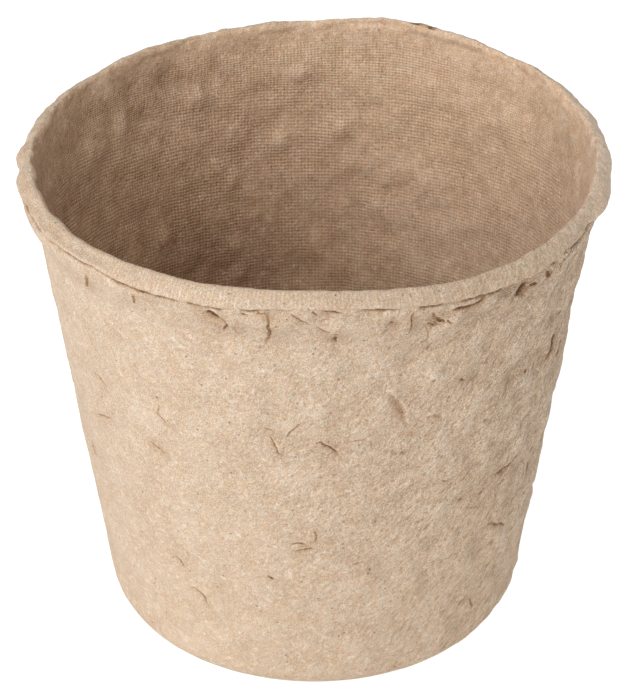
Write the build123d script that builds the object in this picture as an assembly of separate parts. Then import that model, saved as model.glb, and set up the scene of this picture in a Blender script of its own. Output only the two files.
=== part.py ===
from build123d import *
import os

# Round peat pot: a tapered cup of moulded fibre with a rolled lip, a rounded heel and a drained floor.
# The origin is the centre of the foot ring's underside, and +Z runs up the pot's axis.

# Driving dimensions, in millimetres
lip_diameter = 80.8
pot_height = 71.4
foot_diameter = 60.0        # where the wall's outer slope would reach the ground, before the heel is rounded
wall_thickness = 1.5        # measured level, the same all the way up
floor_thickness = 2.0

# Lip
lip_overhang = 1.5          # how far the lip stands out past the wall below it
lip_depth = 1.6             # crown of the lip down to the seat where it bears on the wall
lip_edge_depth = 0.7        # thickness of the lip at its outer edge
lip_slope_width = 1.3       # from the outer edge in to where the lip's sloping face meets the crown
lip_shoulder_round = 0.3    # between the outer edge and the sloping face
lip_crown_round = 0.7       # between the sloping face and the crown
lip_inner_round = 1.0
lip_edge_round = 0.25       # softening of the lip's lower outer corner

# Heel and foot
heel_round = 4.0            # outside, from the wall to the ground
inner_heel_round = 3.0      # inside, from the wall to the floor
heel_reach = 5.5            # from the foot's outer corner in to the edge of the floor
floor_ledge = 1.2           # width of the ledge that carries the floor's edge
base_recess = 0.6           # the floor's underside is raised, so the pot stands on a ring

# Floor
drain_diameter = 8.0
drain_edge_round = 0.4
floor_fit_clearance = 0.1   # around the floor's edge, inside the heel

# Places that follow from the sizes above
lip_radius = lip_diameter / 2
foot_radius = foot_diameter / 2
seat_z = pot_height - lip_depth
wall_top_radius = lip_radius - lip_overhang
wall_top_inner_radius = wall_top_radius - wall_thickness
floor_top_z = base_recess + floor_thickness
floor_seat_radius = foot_radius - heel_reach
foot_inner_radius = floor_seat_radius - floor_ledge
floor_radius = floor_seat_radius - floor_fit_clearance
drain_radius = drain_diameter / 2
wall_slope = (wall_top_radius - foot_radius) / seat_z


def inner_radius(height):
    """Radius of the wall's inner face at a height, from the slope that both faces share."""
    return foot_radius + wall_slope * height - wall_thickness


def turned(points, rounds):
    """Solid of revolution about Z: an outline of (radius, height) points, with the named corners rounded."""
    outline = make_face(Polyline(*points, close=True))
    for corner, radius in rounds:
        at_corner = outline.vertices().sort_by_distance((*corner, 0))[0]
        outline = fillet(at_corner, radius)
    return revolve(Plane.XZ * outline, Axis.Z)


def make_rim_lip():
    """Rolled lip: a flat underside that bears on the wall's top edge, under a crown that slopes outwards."""
    seat_inner = (wall_top_inner_radius, seat_z)
    seat_outer = (lip_radius, seat_z)
    edge_top = (lip_radius, seat_z + lip_edge_depth)
    crown_outer = (lip_radius - lip_slope_width, pot_height)
    crown_inner = (wall_top_inner_radius, pot_height)
    rounds = [
        (seat_outer, lip_edge_round),
        (edge_top, lip_shoulder_round),
        (crown_outer, lip_crown_round),
        (crown_inner, lip_inner_round),
    ]
    return turned([seat_inner, seat_outer, edge_top, crown_outer, crown_inner], rounds)


def make_side_wall():
    """Tapered wall that turns in at a rounded heel and ends in the foot ring and the floor's ledge."""
    foot_corner = (foot_radius, 0)
    top_outer = (wall_top_radius, seat_z)
    top_inner = (wall_top_inner_radius, seat_z)
    heel_corner = (inner_radius(floor_top_z), floor_top_z)
    floor_edge_top = (floor_seat_radius, floor_top_z)
    floor_edge_low = (floor_seat_radius, base_recess)
    ledge_edge = (foot_inner_radius, base_recess)
    foot_edge = (foot_inner_radius, 0)
    outline = [
        foot_corner,
        top_outer,
        top_inner,
        heel_corner,
        floor_edge_top,
        floor_edge_low,
        ledge_edge,
        foot_edge,
    ]
    return turned(outline, [(foot_corner, heel_round), (heel_corner, inner_heel_round)])


def make_floor_disc():
    """Flat floor that lies on the ledge, with one drain hole on the axis."""
    hole_low = (drain_radius, base_recess)
    edge_low = (floor_radius, base_recess)
    edge_top = (floor_radius, floor_top_z)
    hole_top = (drain_radius, floor_top_z)
    rounds = [(hole_low, drain_edge_round), (hole_top, drain_edge_round)]
    return turned([hole_low, edge_low, edge_top, hole_top], rounds)


nodes = {
    "rim_lip": make_rim_lip(),
    "side_wall": make_side_wall(),
    "floor_disc": make_floor_disc(),
}

os.makedirs("parts", exist_ok=True)
for name, solid in nodes.items():
    export_step(solid, f"parts/{name}.step")
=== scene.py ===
import itertools
import math
from collections import namedtuple

import bmesh
import bpy
import numpy as np
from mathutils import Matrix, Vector


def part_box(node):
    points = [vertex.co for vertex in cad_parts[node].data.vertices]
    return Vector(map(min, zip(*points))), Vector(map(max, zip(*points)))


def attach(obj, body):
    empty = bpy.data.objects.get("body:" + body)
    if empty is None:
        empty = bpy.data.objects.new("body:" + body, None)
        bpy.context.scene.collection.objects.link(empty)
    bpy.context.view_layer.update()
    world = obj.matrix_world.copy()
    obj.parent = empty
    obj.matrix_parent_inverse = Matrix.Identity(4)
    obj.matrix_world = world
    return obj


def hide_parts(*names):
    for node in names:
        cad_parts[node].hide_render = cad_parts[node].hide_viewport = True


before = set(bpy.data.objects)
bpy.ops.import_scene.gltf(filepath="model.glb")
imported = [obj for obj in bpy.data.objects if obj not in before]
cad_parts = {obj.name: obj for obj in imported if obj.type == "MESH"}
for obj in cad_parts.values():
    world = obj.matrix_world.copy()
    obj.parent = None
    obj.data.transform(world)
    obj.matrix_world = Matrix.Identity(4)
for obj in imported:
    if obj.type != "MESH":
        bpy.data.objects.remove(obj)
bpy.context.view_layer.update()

# Sizes of the pot, in millimetres: the outer ones come from the frame, the inner ones repeat the solids'.
MM = 0.001
lip_low, lip_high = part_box("rim_lip")
wall_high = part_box("side_wall")[1]
floor_low, floor_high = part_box("floor_disc")
LIP_RADIUS = lip_high.x / MM
CROWN_Z = lip_high.z / MM
SEAT_Z = lip_low.z / MM
WALL_TOP_RADIUS = wall_high.x / MM
FLOOR_RADIUS = floor_high.x / MM
FLOOR_LOW_Z = floor_low.z / MM
FLOOR_TOP_Z = floor_high.z / MM
FOOT_RADIUS = 30.0
WALL_THICKNESS = 1.5
HEEL_ROUND = 4.0
INNER_HEEL_ROUND = 3.0
FLOOR_SEAT_RADIUS = 24.5
FOOT_INNER_RADIUS = 23.3
DRAIN_RADIUS = 4.0
DRAIN_EDGE_ROUND = 0.4
LIP_INNER_RADIUS = WALL_TOP_RADIUS - WALL_THICKNESS
WALL_SLOPE = (WALL_TOP_RADIUS - FOOT_RADIUS) / SEAT_Z
WALL_ANGLE = math.atan(WALL_SLOPE)

# The lip's section, within the solid's: a rounded crest, and a thin rounded edge further out and lower.
CREST_ROUND = 0.6
CREST_INSET = 1.85
CREST_DROP = 0.7
CREST_CENTRE = np.array([LIP_RADIUS - CREST_INSET, CROWN_Z - CREST_DROP])
EDGE_ROUND = 0.35
EDGE_DROP = 1.4
EDGE_CENTRE = np.array([LIP_RADIUS - EDGE_ROUND, CROWN_Z - EDGE_DROP])
MOUTH_FLARE = 0.45
MOUTH_FLARE_REACH = 9.0

# The photograph's camera, in millimetres and photograph pixels: azimuth 0 is the side that faces it.
PHOTO_WIDTH = 630
PHOTO_HEIGHT = 700
FOCAL_PX = 2360.0
CAMERA_ELEVATION = math.radians(32.56)
CAMERA_DISTANCE = 338.6
CAMERA_AIM = np.array([0.12, 0.0, 38.1])
CAMERA_BACK = np.array([0.0, -math.cos(CAMERA_ELEVATION), math.sin(CAMERA_ELEVATION)])
CAMERA_UP = np.array([0.0, math.sin(CAMERA_ELEVATION), math.cos(CAMERA_ELEVATION)])
CAMERA_RIGHT = np.array([1.0, 0.0, 0.0])
CAMERA_EYE = CAMERA_AIM + CAMERA_DISTANCE * CAMERA_BACK
SENSOR_MM = 36.0

# Mesh sizes: the spacing of rows is in millimetres.
WALL_COLUMNS = 344
LIP_COLUMNS = 900
FLOOR_COLUMNS = 180
OUTSIDE_SPACING = 0.78
INSIDE_SPACING = 1.0
LIP_SPACING = 0.16
EDGE_SPACING = 0.08
FLOOR_SPACING = 0.9
DRAIN_SPACING = 0.1
HIDDEN_SPACING = 0.8
ARC_LEAST = 3
REFINE_CUTS = 3
REFINED_BAND = 1.2
REFINE_MARGIN = 0.35

SEED = 41


def outer_radius(height):
    """Radius of the wall's outer face at a height."""
    return FOOT_RADIUS + WALL_SLOPE * height


def inner_radius(height):
    """Radius of the wall's inner face at a height."""
    return outer_radius(height) - WALL_THICKNESS


def pixel_ray(pixel):
    """Direction from the camera through a pixel of the photograph."""
    across, down = pixel
    side = CAMERA_RIGHT * (across - PHOTO_WIDTH / 2)
    rise = CAMERA_UP * (PHOTO_HEIGHT / 2 - down)
    return side + rise - CAMERA_BACK * FOCAL_PX


def pixel_on_cone(pixel, foot_radius, far=False):
    """(azimuth, height) where a pixel's ray meets a cone of the wall's slope, on its near or its far side."""
    ray = pixel_ray(pixel)
    reach = foot_radius + WALL_SLOPE * CAMERA_EYE[2]
    grow = WALL_SLOPE * ray[2]
    square = ray[0] ** 2 + ray[1] ** 2 - grow ** 2
    middle = CAMERA_EYE[0] * ray[0] + CAMERA_EYE[1] * ray[1] - reach * grow
    rest = CAMERA_EYE[0] ** 2 + CAMERA_EYE[1] ** 2 - reach ** 2
    root = math.sqrt(max(middle ** 2 - square * rest, 0.0))
    point = CAMERA_EYE + ray * ((-middle + root if far else -middle - root) / square)
    return math.atan2(point[0], -point[1]), point[2]


def on_inside(pixels):
    """Places on the wall's inner face, seen through the mouth."""
    return np.array([pixel_on_cone(pixel, FOOT_RADIUS - WALL_THICKNESS, far=True) for pixel in pixels])


def turn_between(value, other, whole=2 * math.pi):
    """Signed step from other to value, the short way round a whole turn."""
    return (value - other + whole / 2) % whole - whole / 2


def smooth_step(low, high, value):
    """0 at low and before it, 1 at high and past it, with a smooth change between them."""
    share = np.clip((value - low) / (high - low), 0, 1)
    return share * share * (3 - 2 * share)


def hump(azimuth, centre_degrees, half_width_degrees):
    """1 at an azimuth, falling smoothly to 0 on both sides of it."""
    turn = turn_between(azimuth, math.radians(centre_degrees))
    return np.exp(-(turn / math.radians(half_width_degrees)) ** 2)


# A table round the rim is blurred: by how many degrees to each side, and from how many reads.
RIM_BLUR = 2.5
RIM_READS = 5


def along_rim(azimuth, table):
    """Values at azimuths, read softly from a table of (degrees, value) rows."""
    degrees = np.degrees(azimuth)
    at, values = zip(*table)
    offsets = np.linspace(-RIM_BLUR, RIM_BLUR, RIM_READS)
    return np.mean([np.interp(degrees + offset, at, values, period=360) for offset in offsets], axis=0)


def around(radius, height, azimuth):
    """Points from radius, height and azimuth."""
    return np.column_stack([radius * np.sin(azimuth), -radius * np.cos(azimuth), height])


# Noise: size of its tables, shift from one seed to the next, and the gain that brings it to about -1 to 1.
NOISE_CELLS = 256
SEED_SHIFT = 17.31
NOISE_GAIN = 1.6
GRADIENTS = np.random.default_rng(SEED).normal(size=(NOISE_CELLS, 3))
GRADIENTS /= np.linalg.norm(GRADIENTS, axis=1)[:, None]
SHUFFLE = np.random.default_rng(SEED + 1).permutation(NOISE_CELLS)


def noise(points, wavelength, seed):
    """Gradient noise over 3-D points, about -1 to 1, with features about half a wavelength across."""
    cell = points / wavelength + seed * SEED_SHIFT
    low = np.floor(cell).astype(np.int64)
    part = cell - low
    ease = part ** 3 * (part * (part * 6 - 15) + 10)
    total = np.zeros(len(points))
    for corner in itertools.product((0, 1), repeat=3):
        key = 0
        for step in (low + corner).T:
            key = SHUFFLE[(key + step) % NOISE_CELLS]
        weight = np.prod(np.where(corner, ease, 1 - ease), axis=1)
        total += weight * np.sum(GRADIENTS[key] * (part - corner), axis=1)
    return total * NOISE_GAIN


# Waves of a relief: the first layer's seed, and the layers as (wavelength, height) pairs in millimetres.
Waves = namedtuple("Waves", "seed layers")


def waves(points, pattern):
    """Sum of the noise layers of a pattern, each with the next seed."""
    layers = enumerate(pattern.layers, pattern.seed)
    return sum(height * noise(points, length, seed) for seed, (length, height) in layers)


# Level of the rim above the solids' rim, as (azimuth in degrees, millimetres), and how far down it is felt.
RIM_LEVELS = (
    (-150, 0.0), (-115, -0.35), (-80, -0.7), (-66, -0.9), (-51, -1.05), (-44, -0.85), (-40, -0.8),
    (-36, -0.6), (-28, -0.5), (-20, -0.45), (-12, -0.2), (0, 0.0), (5, -0.15), (10, -0.35), (15, -0.65),
    (20, -0.8), (25, -1.15), (33, -1.3), (41, -1.35), (50, -1.3), (58, -1.2), (66, -1.0), (75, -0.65),
    (90, -0.15), (108, 0.45), (120, 0.65), (135, 0.7), (143, 0.95), (150, 1.15), (156, 1.55), (161, 1.8),
    (166, 1.75), (170, 1.35), (175, 1.0), (179, 0.9), (183, 0.45),
)
RIM_LEVEL_REACH = 10.0


def settled(azimuth, height):
    """Heights moved to the rim's own level, less and less further down the wall."""
    return height + along_rim(azimuth, RIM_LEVELS) * smooth_step(SEAT_Z - RIM_LEVEL_REACH, SEAT_Z, height)


# How much lower the lip's lower edge hangs than the rest of the lip, as (azimuth in degrees, millimetres).
EDGE_DROPS = (
    (-110, 0.3), (-95, 0.8), (-85, 0.6), (-75, 0.2), (-63, -0.2), (-57, -0.3), (-48, -0.35), (-43, -0.45),
    (-38, 0.2), (-32, 0.45), (-19, 0.5), (-13, 0.4), (0, 0.1), (10, 0.1), (19, 0.3), (30, 0.2), (42, 0.3),
    (48, 0.25), (58, 0.2), (69, 0.3), (78, 0.9), (86, 1.2), (95, 0.8), (110, 0.3), (180, 0.0),
)
EDGE_WAVES = Waves(37, ((9, 0.13), (3, 0.13), (1.2, 0.12), (0.7, 0.06)))


def edge_hang(azimuth):
    """How far the lip's ragged lower edge hangs below the place where the lip bears on the wall."""
    rim = around(np.full(len(azimuth), LIP_RADIUS), np.zeros(len(azimuth)), azimuth)
    return along_rim(azimuth, EDGE_DROPS) - waves(rim, EDGE_WAVES)


# Swelling of the wall below the lip, as (azimuth in degrees, millimetres), and the depths below the seat at
# which it starts and is full.
SWELLINGS = (
    (-180, 0.3), (-120, 0.5), (-95, 0.75), (-80, 1.05), (-70, 1.5), (-40, 1.5), (-25, 1.2), (60, 1.15),
    (72, 0.8), (82, 0.1), (95, 0.0), (150, 0.2),
)
SWELLING_DEPTHS = (7.0, 1.0)
SWELLING_TRIES = 4

# The slit under the lip's edge: height, raggedness, share of the height that is fully dark, depth as a share
# of the swelling, darkness, and how far it is open, as (azimuth in degrees, share).
# The slit's darkness is a painted shadow under the lip's overhang.
SLIT_HEIGHT = 0.55
SLIT_RAGS = Waves(51, ((1.6, 0.5),))
SLIT_FULL = 0.5
SLIT_DEPTH = 0.4
SLIT_SHADOW = 0.85
SLIT_OPENINGS = (
    (-90, 0.3), (-72, 1.1), (-40, 0.9), (-28, 0.3), (-18, 0.0), (-11, -0.5), (-3, -0.4), (4, 0.0), (15, 0.0),
    (40, 0.35), (60, 0.1), (100, 0.1),
)
SLIT_GAPS = Waves(53, ((3.0, 1.0), (0.9, 0.5)))
SLIT_ENDS = (-0.25, 0.3)


def below_seat(azimuth, height):
    """How far a height is below the place where the lip bears on the wall."""
    return SEAT_Z + along_rim(azimuth, RIM_LEVELS) - height


def swelling(azimuth, height):
    """How far the wall stands out below the lip."""
    return along_rim(azimuth, SWELLINGS) * smooth_step(*SWELLING_DEPTHS, below_seat(azimuth, height))


def slit_share(azimuth, points):
    """1 in the ragged slit under the lip's edge, 0 below it and where the slit is closed."""
    tall = SLIT_HEIGHT * (1 + waves(points, SLIT_RAGS))
    below_edge = below_seat(azimuth, points[:, 2]) - edge_hang(azimuth)
    open_share = smooth_step(*SLIT_ENDS, waves(points, SLIT_GAPS) + along_rim(azimuth, SLIT_OPENINGS))
    return open_share * smooth_step(tall, SLIT_FULL * tall, below_edge)


def on_outside(pixels):
    """Places on the wall's outer face, with its swelling, one (azimuth, height) row for each pixel."""
    places = np.array([pixel_on_cone(pixel, FOOT_RADIUS) for pixel in pixels])
    for _ in range(SWELLING_TRIES):
        stands_out = swelling(places[:, 0], places[:, 1])
        places = np.array([pixel_on_cone(pixel, FOOT_RADIUS + out) for pixel, out in zip(pixels, stands_out)])
    return places


# Creases of the pulp: lift of one side, depth and width of the groove, reach of the lift, and darkness.
# The darkness is painted shade in the groove, partly darker fibres.
Style = namedtuple("Style", "lift depth width reach dark")
FAINT = Style(0.05, 0.10, 0.15, 0.7, 0.5)
FINE = Style(0.10, 0.20, 0.18, 0.9, 0.82)
DEEP = Style(0.14, 0.32, 0.22, 1.2, 0.95)
BOLD = Style(0.16, 0.40, 0.28, 1.3, 1.3)
TEAR = Style(0.20, 0.55, 0.40, 1.5, 1.75)
SOFT = Style(0.28, 0.30, 0.34, 1.6, 0.50)
SPOT = Style(0.03, 0.22, 0.22, 0.6, 1.0)

# A crease has its path as (azimuth, height) rows, and a squeeze below 1 where it is seen sidelong.
Crease = namedtuple("Crease", "style path squeeze")
LEAST_SQUEEZE = 0.45

# Creases that the photograph shows, as pixels along each one. The raised side is on the left of their way.
SEEN_CREASES = [
    # Under the lip, from its left to its right.
    (FINE, (87, 287), (87, 280), (87, 274)),
    (FINE, (134, 303), (133, 294)),
    (FINE, (127, 284), (131, 287), (136, 289), (144, 292), (152, 293)),
    (FAINT, (148, 287), (158, 289), (169, 293)),
    (FAINT, (161, 295), (169, 297), (177, 301)),
    (TEAR, (205, 310), (210, 313), (214, 315), (219, 317)),
    (DEEP, (214, 315), (220, 318), (226, 320)),
    (FAINT, (234, 326), (236, 331), (242, 334)),
    (DEEP, (224, 332), (225, 327), (227, 321)),
    (FINE, (239, 311), (248, 314)),
    (FINE, (256, 312), (269, 312)),
    (DEEP, (267, 343), (269, 335), (271, 329), (269, 324), (268, 318), (267, 312)),
    (FINE, (291, 312), (297, 316), (304, 321), (310, 324)),
    (FINE, (317, 326), (324, 330), (331, 333)),
    (FINE, (333, 334), (339, 334)),
    (SPOT, (335, 338), (336, 343)),
    (FINE, (312, 310), (317, 314)),
    (FAINT, (322, 320), (329, 319), (328, 314)),
    (DEEP, (322, 310), (343, 312)),
    (SPOT, (390, 323), (394, 324)),
    (FINE, (408, 334), (412, 328), (412, 319), (414, 309)),
    (FAINT, (428, 347), (426, 342), (427, 334), (425, 324)),
    (FINE, (433, 311), (434, 316), (437, 319)),
    (BOLD, (436, 319), (440, 321), (445, 321)),
    (SPOT, (446, 320), (450, 320)),
    (SPOT, (429, 324), (435, 326)),
    (BOLD, (451, 310), (460, 306), (470, 305), (477, 302), (482, 298), (486, 294)),
    (FINE, (496, 290), (502, 289)),
    (FINE, (498, 300), (498, 292)),
    (TEAR, (518, 296), (523, 290), (527, 282)),
    (BOLD, (530, 284), (532, 283), (535, 282)),
    (BOLD, (543, 281), (546, 275), (547, 269)),
    (SPOT, (556, 265), (557, 263)),
    (SPOT, (576, 245), (578, 243)),
    # The left side.
    (SOFT, (93, 373), (99, 378), (101, 382), (105, 386)),
    (FINE, (98, 414), (106, 416), (111, 418)),
    (FAINT, (157, 413), (159, 407), (158, 404)),
    (FINE, (157, 413), (163, 418), (166, 424)),
    (FINE, (149, 440), (155, 447), (162, 452), (166, 456)),
    (SOFT, (97, 457), (94, 450), (92, 442)),
    (FINE, (175, 556), (180, 560), (183, 566), (185, 568)),
    (FAINT, (189, 557), (186, 550)),
    (FINE, (193, 587), (200, 592), (204, 596), (208, 604)),
    (SPOT, (155, 398), (157, 399)),
    (SPOT, (268, 576), (274, 580)),
    # The middle.
    (FINE, (265, 429), (272, 432)),
    (FINE, (270, 437), (275, 445), (279, 455), (284, 457)),
    (FINE, (287, 438), (289, 433), (295, 428), (300, 423)),
    (DEEP, (315, 443), (321, 442), (328, 447), (334, 452), (339, 457)),
    (FAINT, (348, 442), (355, 440), (362, 440), (369, 437)),
    (FAINT, (372, 449), (370, 442)),
    (FINE, (315, 542), (317, 536), (314, 531)),
    (FINE, (291, 544), (300, 544), (308, 546)),
    (FINE, (295, 552), (301, 551), (312, 548)),
    (FAINT, (353, 564), (364, 563)),
    (SPOT, (375, 522), (376, 523)),
    (SPOT, (369, 570), (371, 570)),
    # The right side.
    (SOFT, (388, 391), (393, 399), (399, 406), (402, 412), (403, 420), (408, 427)),
    (SOFT, (434, 414), (442, 421)),
    (SOFT, (393, 450), (396, 456)),
    (SPOT, (461, 380), (465, 383)),
    (FAINT, (480, 415), (489, 408), (494, 406), (499, 401)),
    (SOFT, (484, 419), (492, 421)),
    (DEEP, (494, 477), (498, 474), (502, 471), (507, 468)),
    (DEEP, (504, 470), (508, 465), (512, 460), (517, 453)),
    (FINE, (527, 472), (528, 467), (529, 461)),
    (FAINT, (518, 491), (522, 487), (525, 483)),
    (FINE, (442, 480), (449, 480)),
    (SPOT, (459, 500), (462, 500)),
    (FINE, (478, 496), (480, 493), (485, 488)),
    (FAINT, (467, 508), (472, 507), (477, 505)),
    (DEEP, (489, 523), (495, 524), (504, 523)),
    (FAINT, (541, 360), (544, 358), (548, 353)),
    (BOLD, (546, 359), (550, 351), (553, 342), (556, 334)),
    (BOLD, (557, 355), (558, 348), (560, 340)),
    (FAINT, (542, 344), (544, 336)),
    (SPOT, (559, 312), (560, 314)),
    (SPOT, (524, 371), (526, 372)),
    (FINE, (458, 606), (464, 599)),
    (FAINT, (437, 613), (450, 609)),
    (FINE, (473, 609), (469, 598)),
    (FINE, (393, 666), (399, 669)),
]

# Creases on the sides that the photograph doesn't show: how many, and the range of each measure.
UNSEEN_CREASES = 60
UNSEEN_TEARS = 26
UNSEEN_FROM = math.radians(78)
UNSEEN_HEIGHTS = (5.0, 64.0)
TEAR_HEIGHTS = (65.5, 69.3)
CREASE_LENGTHS = (1.2, 4.6)
CREASE_POINTS = 4
CREASE_HEADING = 0.55
CREASE_BEND = 0.18
UNSEEN_STYLES = (FAINT, FAINT, FAINT, FAINT, FINE, SOFT, SOFT, SPOT)
TEAR_STYLES = (FAINT, FINE, DEEP, BOLD)


def unseen_crease(draw, heights, styles):
    """One crease at a random place on a side or the back: a short bent line."""
    azimuth = draw.uniform(UNSEEN_FROM, 2 * math.pi - UNSEEN_FROM)
    height = draw.uniform(*heights)
    length = draw.uniform(*CREASE_LENGTHS)
    heading = draw.normal(0.0, CREASE_HEADING)
    bend = draw.normal(0.0, CREASE_BEND)
    path = [(azimuth, height)]
    step = length / (CREASE_POINTS - 1)
    for _ in range(CREASE_POINTS - 1):
        azimuth += step * math.cos(heading) / outer_radius(height)
        height = min(height + step * math.sin(heading), SEAT_Z)
        heading += bend
        path.append((azimuth, height))
    return Crease(styles[draw.integers(len(styles))], np.array(path), 1.0)


def seen_crease(style, pixels):
    """A crease from its pixels. The ones seen sidelong are wider than they look, by the squeeze."""
    path = on_outside(pixels)
    return Crease(style, path, max(math.cos(path[:, 0].mean()), LEAST_SQUEEZE))


def all_creases():
    """Every crease, first those seen and then those at random places."""
    draw = np.random.default_rng(SEED + 2)
    creases = [seen_crease(style, pixels) for style, *pixels in SEEN_CREASES]
    creases += [unseen_crease(draw, UNSEEN_HEIGHTS, UNSEEN_STYLES) for _ in range(UNSEEN_CREASES)]
    creases += [unseen_crease(draw, TEAR_HEIGHTS, TEAR_STYLES) for _ in range(UNSEEN_TEARS)]
    return creases


CREASES = all_creases()


def unrolled_radius(crease):
    """Millimetres of width that a crease's neighbourhood has for each radian of azimuth."""
    return outer_radius(crease.path[:, 1].mean()) * crease.squeeze


def nearest_on_crease(crease, azimuth, height):
    """Signed distance from a crease in millimetres, positive on its left, and the share of it passed."""
    path = crease.path
    middle = unrolled_radius(crease)
    across = turn_between(azimuth, path[0, 0]) * middle
    line_x = turn_between(path[:, 0], path[0, 0]) * middle
    line_y = path[:, 1]
    lengths = np.hypot(np.diff(line_x), np.diff(line_y))
    passed = np.concatenate([[0.0], np.cumsum(lengths)])
    best = np.full(len(azimuth), np.inf)
    side = np.ones(len(azimuth))
    share = np.zeros(len(azimuth))
    for k, length in enumerate(lengths):
        way_x = (line_x[k + 1] - line_x[k]) / length
        way_y = (line_y[k + 1] - line_y[k]) / length
        off_x = across - line_x[k]
        off_y = height - line_y[k]
        travel = np.clip(off_x * way_x + off_y * way_y, 0, length)
        distance = np.hypot(off_x - travel * way_x, off_y - travel * way_y)
        nearer = distance < best
        best = np.where(nearer, distance, best)
        side = np.where(nearer, np.sign(way_x * off_y - way_y * off_x), side)
        share = np.where(nearer, (passed[k] + travel) / passed[-1], share)
    return best * side, share


def around_crease(crease, azimuth, height, margin):
    """Indices of the places within a box around a crease."""
    path = crease.path
    middle = unrolled_radius(crease)
    turn = turn_between(azimuth, path[0, 0])
    ends = turn_between(path[:, 0], path[0, 0])
    wide = (turn > ends.min() - margin / middle) & (turn < ends.max() + margin / middle)
    tall = (height > path[:, 1].min() - margin) & (height < path[:, 1].max() + margin)
    return np.nonzero(wide & tall)[0]


def near_creases(azimuth, height, margin):
    """True for the places within a margin of a crease's line."""
    near = np.zeros(len(azimuth), bool)
    for crease in CREASES:
        reach = margin + crease.style.width
        at = around_crease(crease, azimuth, height, reach)
        distance, _ = nearest_on_crease(crease, azimuth[at], height[at])
        near[at] |= np.abs(distance) < reach
    return near


# Relief of a crease: softness of its step, how many reaches away it ends, the groove's spread over its width,
# and how it tapers to its ends.
STEP_SOFTNESS = 0.08
CREASE_REACHES = 3
GROOVE_SPREAD = 1.3
CREASE_TAPER = 0.25

# How a crease's line wanders round the wall and up it, and how its strength varies between two limits.
WANDER_LAYERS = ((1.1, 0.17), (0.45, 0.06))
WANDER_ROUND = Waves(61, WANDER_LAYERS)
WANDER_UP = Waves(71, WANDER_LAYERS)
CREASE_STRENGTH = 0.95
STRENGTH_WAVES = Waves(81, ((1.0, 0.3),))
STRENGTH_LIMITS = (0.6, 1.2)

# The place across a crease, in widths of its groove: what it is far away, and where the darkness fades.
CROSS_FAR = 9.0
CROSS_FADE = (5.0, 3.0)
CreaseMarks = namedtuple("CreaseMarks", "relief dark cross stain")


def crease_marks(azimuth, height, points):
    """Height that the creases add, their painted shade, the place across them and the stain round them."""
    relief, dark, stain = np.zeros((3, len(azimuth)))
    cross = np.full(len(azimuth), CROSS_FAR)
    azimuth = azimuth + waves(points, WANDER_ROUND) / outer_radius(height)
    height = height + waves(points, WANDER_UP)
    strength = np.clip(CREASE_STRENGTH + waves(points, STRENGTH_WAVES), *STRENGTH_LIMITS)
    for crease in CREASES:
        style = crease.style
        at = around_crease(crease, azimuth, height, CREASE_REACHES * style.reach)
        distance, share = nearest_on_crease(crease, azimuth[at], height[at])
        taper = strength[at] * np.sin(math.pi * share) ** CREASE_TAPER
        raised = 0.5 + 0.5 * np.tanh(distance / STEP_SOFTNESS)
        lift = style.lift * raised * np.exp(-np.abs(distance) / style.reach)
        groove = np.exp(-(distance / (GROOVE_SPREAD * style.width)) ** 2)
        relief[at] += crease.squeeze * taper * (lift - style.depth * groove)
        stain[at] = np.maximum(stain[at], style.dark * np.exp(-(distance / style.reach) ** 2))
        widths = distance / style.width
        nearer = np.abs(widths) < np.abs(cross[at])
        cross[at] = np.where(nearer, widths, cross[at])
        dark[at] = np.where(nearer, style.dark * taper, dark[at])
    return CreaseMarks(relief, dark * smooth_step(*CROSS_FADE, np.abs(cross)), cross, stain)


# Relief of the outer face: broad waves, felted lumps, and upright streaks within some depths below the lip.
OUTSIDE_WAVES = Waves(3, ((14, 0.12), (6, 0.09)))
OUTSIDE_LUMPS = Waves(7, ((5.0, 0.15), (2.9, 0.18), (1.8, 0.09)))
STREAKS = Waves(11, ((1.4, 0.10),))
STREAK_STRETCH = (1, 1, 0.3)
NEAR_LIP_DEPTHS = (9.0, 1.0)

# How strong the lumps are, as (azimuth in degrees, share): more near the lip and less near the foot.
ROUGH_SIDES = (
    (-120, 1.0), (-80, 0.65), (-30, 0.6), (10, 1.1), (35, 1.9), (55, 2.4), (75, 2.3), (100, 1.5), (150, 1.1),
)
LIP_EXTRA = 0.5
FOOT_CALM = 0.7
FOOT_CALM_HEIGHTS = (8.0, 36.0)

# Depth of the hollows between the lumps that counts as 1, outside and inside, in the painted relief shade.
OUTSIDE_SHADE_DEPTH = 0.3
INSIDE_SHADE_DEPTH = 0.8

# Brown stains of the outer face: pixel, strength and half width in millimetres.
OUTSIDE_STAINS = (
    (507, 379, 1.0, 1.8), (214, 322, 0.6, 2.0), (242, 328, 0.5, 1.3), (268, 322, 0.5, 1.4),
    (302, 320, 0.4, 2.4), (334, 337, 0.6, 1.6), (393, 322, 0.6, 1.2), (411, 322, 0.5, 1.6),
    (432, 328, 0.7, 2.4), (470, 303, 0.6, 2.2), (500, 292, 0.6, 2.0), (522, 288, 0.6, 1.8),
    (103, 414, 0.4, 1.6), (157, 446, 0.4, 1.6), (328, 448, 0.5, 1.8), (397, 405, 0.15, 2.2),
)
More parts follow.
